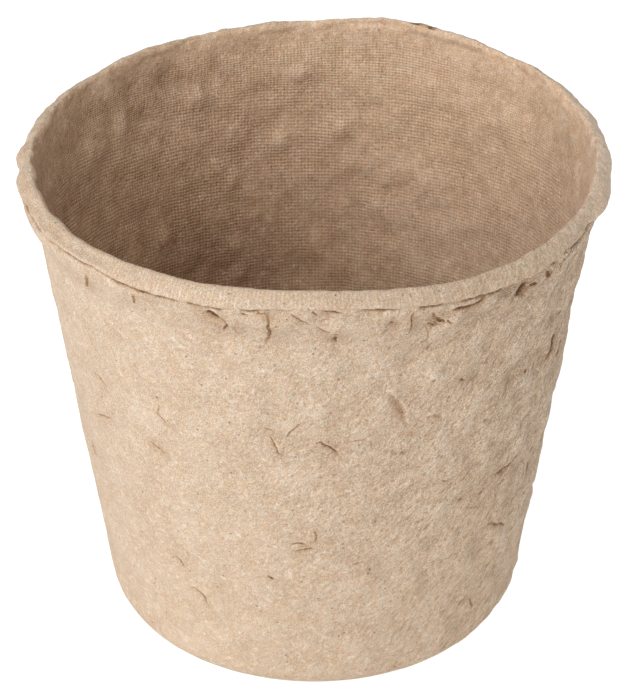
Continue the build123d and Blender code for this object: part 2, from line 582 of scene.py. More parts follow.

# Bulges and hollows of the outer face: pixel, height and half width in millimetres.
# Their heights also drive the painted shade in the hollows and the painted highlight on the bulges.
OUTSIDE_BULGES = (
    (212, 316, -0.40, 1.2), (222, 328, -0.25, 0.9), (243, 330, -0.22, 1.2), (232, 322, 0.20, 1.0),
    (260, 325, 0.22, 1.2), (275, 328, 0.20, 1.2), (296, 322, 0.18, 1.6), (318, 320, -0.25, 1.2),
    (336, 340, -0.35, 0.9), (350, 325, 0.25, 1.8), (374, 335, 0.30, 2.2), (394, 323, -0.35, 1.0),
    (404, 326, 0.25, 1.0), (420, 322, -0.35, 1.2), (432, 334, 0.40, 1.2), (442, 318, -0.55, 1.2),
    (428, 348, -0.30, 1.2), (452, 322, 0.30, 1.4), (476, 304, -0.45, 1.6), (466, 296, 0.25, 1.4),
    (505, 295, -0.30, 1.5), (492, 302, 0.30, 1.3), (524, 289, -0.55, 1.3), (514, 303, 0.30, 1.4),
    (540, 280, -0.40, 1.2), (398, 402, -0.35, 1.5), (386, 404, 0.35, 1.6), (405, 422, -0.25, 1.2),
    (432, 380, 0.30, 2.0), (462, 360, -0.25, 1.8), (508, 379, -0.12, 1.6), (480, 400, 0.30, 1.8),
    (330, 455, -0.25, 1.2), (322, 438, 0.20, 1.3), (292, 440, -0.20, 1.0), (280, 460, -0.20, 1.0),
    (160, 450, -0.20, 1.1), (166, 415, 0.18, 1.2), (104, 412, 0.18, 1.3), (500, 470, -0.40, 1.4),
)


def patches(azimuth, height, table, on_face, radius):
    """Sum of soft round patches on a face of the wall, from rows of pixel, strength and half width."""
    total = np.zeros(len(azimuth))
    for *pixel, strength, size in table:
        (centre, level), = on_face([pixel])
        across = turn_between(azimuth, centre) * radius(level)
        total += strength * np.exp(-(across ** 2 + (height - level) ** 2) / size ** 2)
    return total


def foot_calm(height):
    """Share of the roughness that the outer face has at a height: less near the foot."""
    return FOOT_CALM + (1 - FOOT_CALM) * smooth_step(*FOOT_CALM_HEIGHTS, height)


def outside_relief(azimuth, points):
    """Height of the felted outer face above its cone, and its marks."""
    height = points[:, 2]
    near_lip = smooth_step(*NEAR_LIP_DEPTHS, below_seat(azimuth, height))
    rough = along_rim(azimuth, ROUGH_SIDES) * foot_calm(height) * (1 + LIP_EXTRA * near_lip)
    lumps = rough * waves(points, OUTSIDE_LUMPS)
    lumps += patches(azimuth, height, OUTSIDE_BULGES, on_outside, outer_radius)
    relief = waves(points, OUTSIDE_WAVES) + lumps
    relief += near_lip * waves(points * STREAK_STRETCH, STREAKS)
    slit = slit_share(azimuth, points)
    relief += swelling(azimuth, height) * (1 - SLIT_DEPTH * slit)
    creases = crease_marks(azimuth, height, points)
    stain = creases.stain + patches(azimuth, height, OUTSIDE_STAINS, on_outside, outer_radius)
    marks = {
        # Painted shade in the creases' grooves, partly darker fibres.
        "crease": creases.dark,
        "cross": creases.cross,
        # Painted shadow in the slit under the lip.
        "slit": SLIT_SHADOW * slit,
        "stain": stain,
        # Painted shade in the hollows between the lumps, and painted highlight on the bulges.
        "relief_shade": -lumps / OUTSIDE_SHADE_DEPTH,
    }
    return relief + creases.relief, marks


# Relief of the inner face: broad waves and lumps, calmer within some depth of the rim, where a share is left.
INSIDE_WAVES = Waves(27, ((11, 0.3), (5, 0.24)))
INSIDE_LUMP_WAVES = Waves(17, ((2.9, 0.32), (1.7, 0.2)))
RIM_CALM = 6.0
RIM_ROUGHS = (
    (-160, 0.6), (-140, 0.9), (-100, 0.7), (-75, 0.3), (75, 0.3), (100, 0.7), (140, 0.8), (160, 0.6),
)

# Soft lumps of the inner face: pixel, height and half width in millimetres.
INSIDE_LUMPS = (
    (108, 93, 0.9, 1.9), (122, 125, 0.9, 1.6), (90, 160, 0.6, 2.6), (134, 92, -0.8, 1.5),
    (146, 118, -0.7, 1.6), (165, 84, -0.9, 1.7), (186, 86, -0.8, 1.5), (206, 84, -0.6, 1.5),
    (198, 96, 0.9, 1.6), (299, 70, 0.8, 1.8), (280, 141, 0.8, 1.5), (230, 183, 0.8, 1.4),
    (218, 166, 0.7, 1.3), (340, 127, 0.9, 1.5), (372, 108, -0.6, 1.6), (430, 90, 0.6, 2.2),
    (232, 243, 0.8, 1.4), (238, 274, 0.7, 1.0), (163, 236, 0.8, 1.4), (376, 205, 0.6, 1.6),
    (430, 180, 0.6, 2.0), (505, 120, 0.6, 2.0),
)

# Painted shade of the inner face, and painted light where negative: pixel, darkening, half width in
# millimetres.
INSIDE_SHADE_PATCHES = (
    (250, 266, 1.5, 12.0), (175, 255, 1.3, 9.0), (110, 200, 0.45, 9.0), (435, 240, -0.6, 8.0),
    (340, 50, -0.15, 9.0), (480, 130, 0.6, 10.0), (560, 160, 0.6, 9.0),
)


def inside_relief(azimuth, height, points):
    """Height of the inner face above its cone, and the lumps' share of it."""
    lumps = waves(points, INSIDE_LUMP_WAVES)
    lumps += patches(azimuth, height, INSIDE_LUMPS, on_inside, inner_radius)
    near_rim = smooth_step(RIM_CALM, 0.0, below_seat(azimuth, height))
    calm = 1 - near_rim * (1 - along_rim(azimuth, RIM_ROUGHS))
    return calm * (lumps + waves(points, INSIDE_WAVES)), calm * lumps


# Where the lip's edge spreads further out: (azimuth in degrees, half width in degrees, millimetres).
LIP_SPREADS = (
    (-92, 3, 0.25), (-86, 2, -0.2), (-70.5, 2.5, -0.35), (56, 5, -0.4), (64, 4, -0.6), (71.5, 2.5, 0.35),
    (158, 3, 0.4),
)


def lip_spread(azimuth):
    """How far the lip's edge stands out past its even round."""
    return sum(size * hump(azimuth, centre, half_width) for centre, half_width, size in LIP_SPREADS)


# Outlines: rows of a closed section, in millimetres, from its floor side round its outside to its inside.
Outline = namedtuple("Outline", "radius height out up sharp")


def run(start, end, spacing):
    """Points of a straight stretch, with its end left out."""
    start, end = np.array(start, float), np.array(end, float)
    count = max(1, round(np.linalg.norm(end - start) / spacing))
    return start + (end - start) * np.arange(count)[:, None] / count


def corner_arc(before, corner, after, size, spacing):
    """Points of the arc that rounds a corner, both ends included."""
    corner = np.array(corner, float)
    back = np.array(before, float) - corner
    ahead = np.array(after, float) - corner
    back /= np.linalg.norm(back)
    ahead /= np.linalg.norm(ahead)
    half = 0.5 * math.acos(np.clip(back @ ahead, -1, 1))
    middle = back + ahead
    centre = corner + middle / np.linalg.norm(middle) * size / math.sin(half)
    first = corner + back * size / math.tan(half) - centre
    last = corner + ahead * size / math.tan(half) - centre
    sweep = math.pi - 2 * half
    count = max(ARC_LEAST, round(size * sweep / spacing))
    shares = np.linspace(0, 1, count + 1)[:, None]
    return centre + (np.sin((1 - shares) * sweep) * first + np.sin(shares * sweep) * last) / math.sin(sweep)


def rounded_line(corners, rounds, spacings, arc_spacing):
    """Points along a line with rounded corners, both ends included; each straight run has its own spacing."""
    start, end = corners[0], corners[-1]
    parts = []
    for k, size in enumerate(rounds):
        bend = corner_arc(*corners[k:k + 3], size, arc_spacing)
        parts += [run(start, bend[0], spacings[k]), bend[:-1]]
        start = bend[-1]
    return np.concatenate([*parts, run(start, end, spacings[-1]), [end]])


def arc(centre, size, start, end, spacing):
    """Points of an arc about a centre, from one angle to another, both ends included."""
    count = max(ARC_LEAST, round(size * abs(end - start) / spacing))
    angles = np.linspace(start, end, count + 1)
    return centre + size * np.column_stack([np.cos(angles), np.sin(angles)])


def outline(*stretches):
    """Closed outline from stretches of points: each stretch is smooth, with sharp corners at its ends."""
    faces, sharp = [], []
    for points in stretches:
        way = np.gradient(points, axis=0)
        way /= np.linalg.norm(way, axis=1)[:, None]
        faces.append(np.column_stack([way[:, 1], -way[:, 0]]))
        ends = np.zeros(len(points), bool)
        ends[[0, -1]] = True
        sharp.append(ends)
    points = np.concatenate(stretches)
    faces = np.concatenate(faces)
    return Outline(points[:, 0], points[:, 1], faces[:, 0], faces[:, 1], np.concatenate(sharp))


def wall_outline():
    """Section of the side wall, and the rows that its outside and its inside start at."""
    foot_corner = (FOOT_RADIUS, 0.0)
    top_outside = (WALL_TOP_RADIUS, SEAT_Z)
    top_inside = (LIP_INNER_RADIUS, SEAT_Z)
    inner_corner = (inner_radius(FLOOR_TOP_Z), FLOOR_TOP_Z)
    seat_edge = (FLOOR_SEAT_RADIUS, FLOOR_TOP_Z)
    foot_edge = (FOOT_INNER_RADIUS, 0.0)
    seat = np.array([(FLOOR_SEAT_RADIUS, FLOOR_LOW_Z), (FOOT_INNER_RADIUS, FLOOR_LOW_Z)])
    outside_spacings = (HIDDEN_SPACING, OUTSIDE_SPACING)
    inside_spacings = (INSIDE_SPACING, HIDDEN_SPACING)
    outer_line = (foot_edge, foot_corner, top_outside)
    inner_line = (top_inside, inner_corner, seat_edge)
    outside = rounded_line(outer_line, [HEEL_ROUND], outside_spacings, OUTSIDE_SPACING)
    inside = rounded_line(inner_line, [INNER_HEEL_ROUND], inside_spacings, INSIDE_SPACING)
    inside[:, 0] += MOUTH_FLARE * smooth_step(SEAT_Z - MOUTH_FLARE_REACH, SEAT_Z, inside[:, 1])
    return outline(seat, outside, inside), len(seat), len(seat) + len(outside)


def lip_outline():
    """Section of the lip: lower edge, face that slopes up to the crest, crest, inner flank, under face."""
    out, up = EDGE_CENTRE - CREST_CENTRE
    slope = math.atan2(up, out) + math.acos((CREST_ROUND - EDGE_ROUND) / math.hypot(out, up))
    edge = arc(EDGE_CENTRE, EDGE_ROUND, -math.pi / 2, slope, EDGE_SPACING)
    crest = arc(CREST_CENTRE, CREST_ROUND, slope, math.pi, LIP_SPACING)
    seam = (LIP_INNER_RADIUS + MOUTH_FLARE, SEAT_Z)
    under = run(seam, edge[0], HIDDEN_SPACING)[1:]
    flanks = np.concatenate([
        edge[:-1],
        run(edge[-1], crest[0], LIP_SPACING),
        crest[:-1],
        run(crest[-1], seam, LIP_SPACING),
        [seam],
    ])
    return outline(flanks, under)


def floor_outline():
    """Section of the floor disc: edge, top, drain hole, under face."""
    top_edge = (FLOOR_RADIUS, FLOOR_TOP_Z)
    low_edge = (FLOOR_RADIUS, FLOOR_LOW_Z)
    hole_top = (DRAIN_RADIUS, FLOOR_TOP_Z)
    hole_low = (DRAIN_RADIUS, FLOOR_LOW_Z)
    line = (top_edge, hole_top, hole_low, low_edge)
    spacings = (FLOOR_SPACING, DRAIN_EDGE_ROUND, FLOOR_SPACING)
    return outline(rounded_line(line, [DRAIN_EDGE_ROUND] * 2, spacings, DRAIN_SPACING))


def at_rows(values, row):
    """Values of a section's rows, read between them."""
    return np.interp(row, np.arange(len(values)), values)


def add_mark(mesh, name, values):
    """Adds a value for each vertex to a mesh."""
    mesh.attributes.new(name, "FLOAT", "POINT").data.foreach_set("value", values.astype(np.float32))


def read_values(items, name, kind, width=1):
    """Values of one property of a mesh's items, as one flat array."""
    values = np.empty(len(items) * width, kind)
    items.foreach_get(name, values)
    return values


def round_grid(section, columns, refined=None):
    """Mesh of a section turned about Z, its faces refined where refined(azimuth, row) says so.

    Returns the mesh, with the azimuth, the row and the section's values at each vertex."""
    rows = len(section.radius)
    azimuths = -math.pi + 2 * math.pi * np.arange(columns) / columns
    row, column = np.meshgrid(np.arange(rows), np.arange(columns), indexing="ij")
    row, column = row.ravel(), column.ravel()
    next_row, next_column = (row + 1) % rows, (column + 1) % columns
    corners = ((row, column), (row, next_column), (next_row, next_column), (next_row, column))
    faces = np.column_stack([r * columns + c for r, c in corners])
    mesh = bpy.data.meshes.new("pulp")
    mesh.from_pydata(around(section.radius[row], section.height[row], azimuths[column]), [], faces.tolist())
    add_mark(mesh, "row", row)
    shape = bmesh.new()
    shape.from_mesh(mesh)
    for edge in shape.edges:
        first, second = (vert.index // columns for vert in edge.verts)
        edge.smooth = not (first == second and section.sharp[first])
    if refined is not None:
        shape.faces.ensure_lookup_table()
        chosen = np.nonzero(refined(azimuths[column] + math.pi / columns, row + 0.5))[0]
        edges = {edge.index: edge for k in chosen for edge in shape.faces[k].edges}
        bmesh.ops.subdivide_edges(
            shape, edges=[edges[k] for k in sorted(edges)], cuts=REFINE_CUTS, use_grid_fill=True)
    shape.to_mesh(mesh)
    shape.free()
    mesh.shade_smooth()
    places = read_values(mesh.vertices, "co", float, 3).reshape(-1, 3)
    at_row = read_values(mesh.attributes["row"].data, "value", np.float32).astype(float)
    mesh.attributes.remove(mesh.attributes["row"])
    at = Outline(*(at_rows(values, at_row) for values in section))
    return mesh, np.arctan2(places[:, 0], -places[:, 1]), at_row, at


def raised_points(at, azimuth, height, relief, out=0.0, up=0.0):
    """Points of a turned section, moved along its faces by the relief, and then out and up."""
    return around(at.radius + at.out * relief + out, height + at.up * relief + up, azimuth)


# Margin of the unrolled map, pitch of the forming screen, and how many of its meshes go round the lip.
BAKE_MARGIN = 0.004
SCREEN_PITCH = 0.515
LIP_MESHES = 475


def add_map(mesh, name, across, along):
    """Adds a map to a mesh, with one place for each corner of its faces."""
    places = np.column_stack([across, along]).ravel().astype(np.float32)
    mesh.uv_layers.new(name=name).data.foreach_set("uv", places)


def add_maps(mesh, azimuth, row, rows, screen_u, screen_v, on_screen):
    """Adds the unrolled map for baking, and the map of the forming screen, in millimetres."""
    vertex = read_values(mesh.loops, "vertex_index", np.int32)
    starts = read_values(mesh.polygons, "loop_start", np.int32)
    totals = read_values(mesh.polygons, "loop_total", np.int32)
    first = np.repeat(vertex[starts], totals)
    turned = azimuth[first] + turn_between(azimuth[vertex], azimuth[first])
    climbed = row[first] + turn_between(row[vertex], row[first], rows)
    spread = 1 - 2 * BAKE_MARGIN
    across = 0.5 + spread * turned / (2 * math.pi)
    along = BAKE_MARGIN + spread * (climbed + 1) / (rows + 1)
    add_map(mesh, "OFBake", across, along)
    from_back = turn_between(azimuth, math.pi)
    unrolled = from_back[first] + turn_between(from_back[vertex], from_back[first])
    add_map(mesh, "Screen", *on_screen(screen_u[vertex], screen_v[vertex], unrolled))


def cone_screen(slant, _, turn):
    """Place on the screen sheet, rolled out flat from the back of the cone."""
    return slant * np.sin(turn * math.sin(WALL_ANGLE)), -slant * np.cos(turn * math.sin(WALL_ANGLE))


def band_screen(_, level, turn):
    """Place on the screen's edge, which runs round the lip in a whole number of meshes."""
    return turn * LIP_MESHES * SCREEN_PITCH / (2 * math.pi), level


def flat_screen(across, along, _):
    """Place on the flat screen of the floor."""
    return across, along


def placed(name, data):
    """New object in the scene that holds the data."""
    thing = bpy.data.objects.new(name, data)
    bpy.context.scene.collection.objects.link(thing)
    return thing


def finish_piece(name, mesh, points, marks, node, slot):
    """Makes the object of a finished mesh, which stands for a node of the frame."""
    mesh.vertices.foreach_set("co", (points * MM).ravel())
    for mark, values in marks.items():
        add_mark(mesh, mark, values)
    mesh.update()
    piece = placed(name, mesh)
    mesh.materials.append(fibre_material(slot))
    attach(piece, "root")
    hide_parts(node)


# Screen marks of the inner face: share at the rim and the depth at which they are full. Then the strength of
# the marks and of the felt, as (azimuth in degrees, share).
SCREEN_AT_RIM = 0.15
SCREEN_FADE = 3.5
INSIDE_SCREENS = ((-150, 1.15), (-100, 1.1), (0, 0.9), (100, 0.75), (140, 0.75), (180, 1.0))
INSIDE_ROUGHS = ((-150, 1.2), (-100, 1.1), (0, 0.8), (100, 0.7), (140, 0.7), (180, 0.9))

# Share of the inner relief that is left on the inner heel.
HEEL_RELIEF = 0.4


def wall_piece():
    """The felted wall: creased pulp outside, screen marks inside."""
    section, outside_from, inside_from = wall_outline()
    outside_share = smooth_step(0.0, HEEL_ROUND, section.height)
    outside_share[inside_from:] = 0
    outside_share[:outside_from] = 0
    above_heel = smooth_step(FLOOR_TOP_Z, FLOOR_TOP_Z + INNER_HEEL_ROUND, section.height)
    inside_share = HEEL_RELIEF + (1 - HEEL_RELIEF) * above_heel
    inside_share[:inside_from] = 0

    def creased(azimuth, row):
        height = at_rows(section.height, row)
        near = near_creases(azimuth, settled(azimuth, height), REFINE_MARGIN)
        on_outside_rows = (row > outside_from) & (row < inside_from - 1)
        return (near | (height > SEAT_Z - REFINED_BAND)) & on_outside_rows

    mesh, azimuth, row, at = round_grid(section, WALL_COLUMNS, creased)
    height = settled(azimuth, at.height)
    points = around(at.radius, height, azimuth)
    outer, marks = outside_relief(azimuth, points)
    inner, lumps = inside_relief(azimuth, height, points)
    relief = at_rows(outside_share, row) * outer + at_rows(inside_share, row) * inner
    raised = raised_points(at, azimuth, height, relief)
    slant = at.radius / math.sin(WALL_ANGLE)
    add_maps(mesh, azimuth, row, len(section.radius), slant, slant, cone_screen)
    for mark in ("crease", "slit", "stain"):
        marks[mark] *= at_rows(outside_share, row)
    inside = row > inside_from - 0.5
    marks["inside"] = inside.astype(float)
    below_rim = smooth_step(0.0, SCREEN_FADE, below_seat(azimuth, height))
    pressed = SCREEN_AT_RIM + (1 - SCREEN_AT_RIM) * below_rim
    marks["screen"] = inside * pressed * along_rim(azimuth, INSIDE_SCREENS)
    outside_rough = along_rim(azimuth, ROUGH_SIDES) * foot_calm(height)
    marks["rough"] = np.where(inside, along_rim(azimuth, INSIDE_ROUGHS), outside_rough)
    # Inside, the mark holds patches of painted shade and light, plus painted shade in hollows and highlight
    # on bumps.
    inside_painted_shade = patches(azimuth, height, INSIDE_SHADE_PATCHES, on_inside, inner_radius)
    marks["relief_shade"] = np.where(inside, inside_painted_shade - lumps / INSIDE_SHADE_DEPTH, marks["relief_shade"])
    finish_piece("pulp_wall", mesh, raised, marks, "side_wall", "wall_fibre")


# Relief of the lip, and its strength, as (azimuth in degrees, share).
LIP_WAVES = Waves(23, ((18, 0.1), (5.5, 0.28), (2.6, 0.1), (1.1, 0.08)))
LIP_ROUGHS = (
    (-140, 1.3), (-100, 1.5), (-75, 1.3), (-50, 0.5), (0, 0.35), (40, 0.6), (80, 0.9), (140, 1.3),
)

# Zones of the lip's section, by the outward part of the way a face looks: inner flank, outer side and crest.
INNER_FLANK = (0.0, -0.9)
OUTER_SIDE = (0.0, 0.4)
CREST_ZONE = (0.7, 0.5)

# Where the lip's lower edge begins: out from the wall and down from the crown, in millimetres.
EDGE_FROM_WALL = 0.4
EDGE_FROM_CROWN = 0.4

# Shading of the lip's outer side, as (azimuth in degrees, share): screen marks, felt, stain, and painted
# light on its right.
LIP_SCREENS = ((-110, 0.25), (-60, 0.3), (-30, 0.42), (15, 0.42), (40, 0.3), (70, 0.2), (110, 0.25))
LIP_FELTS = ((-110, 0.6), (-60, 0.4), (-30, 0.3), (15, 0.35), (40, 0.8), (70, 0.6), (110, 0.45))
LIP_STAINS = (
    (-110, 0.5), (-85, 0.6), (-60, 0.35), (-30, 0.0), (15, 0.1), (35, 0.5), (48, 0.35), (60, 0.2), (72, 0.0),
    (150, 0.0),
)
LIP_PAINTED_LIGHTS = (
    (-160, 0.0), (35, 0.0), (48, 0.1), (60, 0.28), (72, 0.5), (88, 0.9), (110, 0.9), (135, 0.4), (160, 0.0),
)

# Dark scars on the lip's crest: azimuth and half width in degrees.
LIP_SCARS = ((156.7, 1.6), (153.2, 1.2))


def lip_piece():
    """The lip: a rolled band with a ragged lower edge."""
    section = lip_outline()
    mesh, azimuth, row, at = round_grid(section, LIP_COLUMNS)
    height = settled(azimuth, at.height)
    points = around(at.radius, height, azimuth)
    inner_share = smooth_step(*INNER_FLANK, at.out)
    at_edge = smooth_step(WALL_TOP_RADIUS + EDGE_FROM_WALL, EDGE_CENTRE[0], at.radius)
    free = np.maximum(at_edge, smooth_step(SEAT_Z, CREST_CENTRE[1], at.height))
    inner, lumps = inside_relief(azimuth, height, points)
    relief = inner_share * inner + free * along_rim(azimuth, LIP_ROUGHS) * waves(points, LIP_WAVES)
    drop = -at_edge * smooth_step(CROWN_Z - EDGE_FROM_CROWN, SEAT_Z, at.height) * edge_hang(azimuth)
    raised = raised_points(at, azimuth, height, relief, at_edge * lip_spread(azimuth), drop)
    level = np.zeros(len(azimuth))
    add_maps(mesh, azimuth, row, len(section.radius), level, level, band_screen)
    outward = smooth_step(*OUTER_SIDE, at.out)
    on_crest = smooth_step(*CREST_ZONE, np.abs(at.out)) * (at.up > 0)
    scars = sum(hump(azimuth, centre, half_width) for centre, half_width in LIP_SCARS)
    marks = {
        "screen": outward * along_rim(azimuth, LIP_SCREENS),
        "inside": inner_share,
        "rough": along_rim(azimuth, LIP_FELTS),
        "stain": outward * along_rim(azimuth, LIP_STAINS),
        # Painted light on the lip's outer side, at its right and back.
        "painted_light": outward * along_rim(azimuth, LIP_PAINTED_LIGHTS),
        "slit": on_crest * scars,
        # Painted shade in the inner flank's hollows, and painted highlight on its bumps.
        "relief_shade": -inner_share * lumps / INSIDE_SHADE_DEPTH,
    }
    finish_piece("pulp_lip", mesh, raised, marks, "rim_lip", "lip_fibre")


# The floor: share of the inner relief, strength of the felt, and the up part of faces that look down.
FLOOR_RELIEF = 0.4
FLOOR_ROUGH = 0.6
LOOKS_DOWN = -0.5


def floor_piece():
    """The floor disc with its drain hole, screen-marked on top."""
    section = floor_outline()
    mesh, azimuth, row, at = round_grid(section, FLOOR_COLUMNS)
    points = around(at.radius, at.height, azimuth)
    upper = 1 - at_rows((section.up < LOOKS_DOWN).astype(float), row)
    relief = FLOOR_RELIEF * inside_relief(azimuth, at.height, points)[0] * upper
    raised = raised_points(at, azimuth, at.height, relief)
    add_maps(mesh, azimuth, row, len(section.radius), points[:, 0], points[:, 1], flat_screen)
    marks = {"screen": upper, "inside": upper, "rough": np.full(len(azimuth), FLOOR_ROUGH)}
    finish_piece("pulp_floor", mesh, raised, marks, "floor_disc", "floor_fibre")


# A pattern is a noise texture: scale in waves for each millimetre, detail and seed.
Pattern = namedtuple("Pattern", "scale detail seed")

# A ramp carries a value from the range low to high over to first to last, and holds it at the ends.
Ramp = namedtuple("Ramp", "low high first last", defaults=(0.0, 1.0))

# A thread is a line where a noise passes its middle: scale, half width, seed and strength.
Thread = namedtuple("Thread", "scale thin seed strength")


class Graph:
    """Short calls for building a node tree."""

    def __init__(self, tree):
        self.tree = tree

    def add(self, kind, inputs=(), **settings):
        """Adds a node; inputs maps socket names or numbers to values or to sockets of other nodes."""
        node = self.tree.nodes.new(kind)
        for key, value in settings.items():
            setattr(node, key, value)
        for key, value in dict(inputs).items():
            if isinstance(value, bpy.types.NodeSocket):
                self.tree.links.new(value, node.inputs[key])
            else:
                node.inputs[key].default_value = value
        return node

    def math(self, operation, *values):
        """Result of a math node."""
        return self.add("ShaderNodeMath", enumerate(values), operation=operation).outputs[0]

    def noise(self, place, pattern):
        """Value of a noise texture, about 0.5 in the mean."""
        inputs = {"Vector": place, "W": pattern.seed, "Scale": pattern.scale, "Detail": pattern.detail}
        return self.add("ShaderNodeTexNoise", inputs, noise_dimensions="4D").outputs["Fac"]

    def span(self, value, ramp):
        """Value carried over by a ramp."""
        ends = {"From Min": ramp.low, "From Max": ramp.high, "To Min": ramp.first, "To Max": ramp.last}
        return self.add("ShaderNodeMapRange", {"Value": value, **ends}).outputs["Result"]

    def mottle(self, place, pattern, ramp):
        """Value of a noise texture, carried over by a ramp."""
        return self.span(self.noise(place, pattern), ramp)

    def band(self, value, rise, fall):
        """Share that a value has between a ramp that rises and one that falls."""
        return self.math("MINIMUM", self.span(value, rise), self.span(value, fall))

    def product(self, first, *others):
        """Product of values."""
        for value in others:
            first = self.math("MULTIPLY", first, value)
        return first

    def mix(self, share, first, second, blend="MIX"):
        """Mixed colour."""
        node = self.add("ShaderNodeMix", {0: share, 6: first, 7: second}, data_type="RGBA", blend_type=blend)
        return node.outputs[2]

    def tint(self, shade, tone, *shares):
        """Colour mixed with a tone, by the product of the shares."""
        return self.mix(self.product(*shares), shade, tone)

    def layered(self, shade, value, layers, *shares):
        """Colour under layers, each a ramp of the same value and a tone."""
        for ramp, tone in layers:
            shade = self.tint(shade, tone, self.span(value, ramp), *shares)
        return shade

    def bump(self, height, distance, **under):
        """Normal of a bumpy surface, over another one if its Normal is given."""
        inputs = {"Height": height, "Distance": distance, "Strength": 1.0, **under}
        return self.add("ShaderNodeBump", inputs).outputs[0]

    def mark(self, name):
        """Value of a vertex mark."""
        return self.add("ShaderNodeAttribute", attribute_name=name).outputs["Fac"]


def empty_graph(owner):
    """Graph of a material or a world, cleared of its nodes."""
    owner.use_nodes = True
    owner.node_tree.nodes.clear()
    return Graph(owner.node_tree)


def matt_surface(graph, inputs):
    """Ends a material's graph with a principled surface."""
    surface = graph.add("ShaderNodeBsdfPrincipled", inputs)
    graph.add("ShaderNodeOutputMaterial", {"Surface": surface.outputs[0]})


def colour(red, green, blue):
    """Opaque linear colour."""
    return (red, green, blue, 1.0)


# Colours of the pulp, and of what multiplies it: the shades and the hues. Some are painted shade and painted
# light.
WHITE = colour(1.0, 1.0, 1.0)
PULP = colour(0.505, 0.385, 0.275)
PULP_DARK = colour(0.455, 0.33, 0.223)
# Painted light: a lighter pulp where the felt is wildest, set against its painted furrow shade.
PAINTED_LIGHT_PULP = colour(0.64, 0.475, 0.33)
# Pale pulp: the colour of pale patches and mottle, and of the painted highlight on bulges and on creases'
# raised sides.
PALE_PULP_AND_HIGHLIGHT = colour(0.66, 0.54, 0.425)
PULP_WARM = colour(0.50, 0.335, 0.205)
# Dark brown: the colour of dark grain, fibre webs and mottle, and of the painted shade in hollows, tuft gaps
# and furrows.
DARK_FIBRE_AND_SHADE = colour(0.30, 0.195, 0.12)
# Deepest painted shade, in the deepest hollows and pits.
DEEP_PAINTED_SHADE = colour(0.16, 0.10, 0.06)
# Painted light on the lip's outer side, at its right.
LIP_PAINTED_LIGHT = colour(0.74, 0.58, 0.44)
# Brown: the colour of real stains, and of the painted shadow on a crease's low side.
STAIN_AND_SHADOW_BROWN = colour(0.36, 0.225, 0.125)
FIBRE_BROWN = colour(0.33, 0.185, 0.085)
FIBRE_WHITE = colour(0.76, 0.68, 0.58)
DOT = colour(0.15, 0.11, 0.08)
# Painted crease shade, from fringe to deepest core; the fringe colour also serves the flecks.
FRINGE_SHADE_AND_FLECK = colour(0.31, 0.18, 0.09)
CREASE_SHADE = colour(0.12, 0.066, 0.035)
CREASE_DEEP_SHADE = colour(0.05, 0.028, 0.016)
WEAVE_SHADE = colour(0.5, 0.42, 0.36)
INSIDE_SHADE = colour(1.09, 1.01, 0.945)
HUE_WARM = colour(1.05, 1.0, 0.94)
HUE_COOL = colour(0.97, 1.0, 1.04)
HUE_PINK = colour(1.02, 0.98, 1.01)
HUE_GREEN = colour(0.98, 1.02, 0.99)

# Lay of the fibres as a direction, and how far tufts and furrows are squeezed along it.
FIBRE_LAY = (0.44, 0.63, 0.64)
TUFT_STRETCH = 0.5
FURROW_STRETCH = 0.3

# The felt: clouds and patches of its colour, and tufts with painted shade in the gaps between them.
CLOUDS = (Pattern(0.24, 3.0, 1.0), Ramp(0.35, 0.65))
PATCHES = (
    (Pattern(1.0, 2.0, 2.0), Ramp(0.5, 0.72, 0.0, 0.5), PALE_PULP_AND_HIGHLIGHT),
    (Pattern(1.4, 2.0, 3.0), Ramp(0.5, 0.72, 0.0, 0.6), PULP_WARM),
)
TUFTS = Pattern(1.5, 2.0, 12.0)
TUFT_GAP_SHADE = Ramp(0.27, 0.5, 0.42, 0.0)
# Where the felt is wildest: a painted lighter base, crossed by painted shade in furrows.
WILD = Ramp(1.0, 2.4)
WILD_PAINTED_LIGHT = 0.8
FURROW_SHADE = (Pattern(1.3, 5.0, 17.0), Ramp(0.32, 0.5, 0.9, 0.0))

# Painted shade in the relief's hollows and painted highlight on its bulges, drifts of hue, and patches of
# stain.
RELIEF_SHADE_LAYERS = (
    (Ramp(0.0, 1.0, 0.0, 0.4), DARK_FIBRE_AND_SHADE),
    (Ramp(0.9, 1.9, 0.0, 0.6), DEEP_PAINTED_SHADE),
    (Ramp(0.0, -1.0, 0.0, 0.45), PALE_PULP_AND_HIGHLIGHT),
)
HUE_DRIFTS = (
    (Pattern(0.9, 2.0, 18.0), HUE_COOL, HUE_WARM),
    (Pattern(1.6, 2.0, 19.0), HUE_GREEN, HUE_PINK),
)
HUE_RAMP = Ramp(0.3, 0.7)
STAIN_PATCHES = (Pattern(0.7, 2.0, 16.0), Ramp(0.35, 0.65, 0.1, 0.6))

# Grain: its layers, and its strength by height in millimetres and by wildness.
GRAIN = Pattern(6.0, 1.0, 4.0)
GRAIN_LAYERS = ((Ramp(0.3, 0.5, 0.48, 0.0), DARK_FIBRE_AND_SHADE), (Ramp(0.5, 0.7, 0.0, 0.5), FIBRE_WHITE))
GRAIN_HEIGHTS = Ramp(8.0, 40.0, 0.6, 1.0)
GRAIN_WILD = Ramp(0.0, 1.0, 1.0, 1.5)

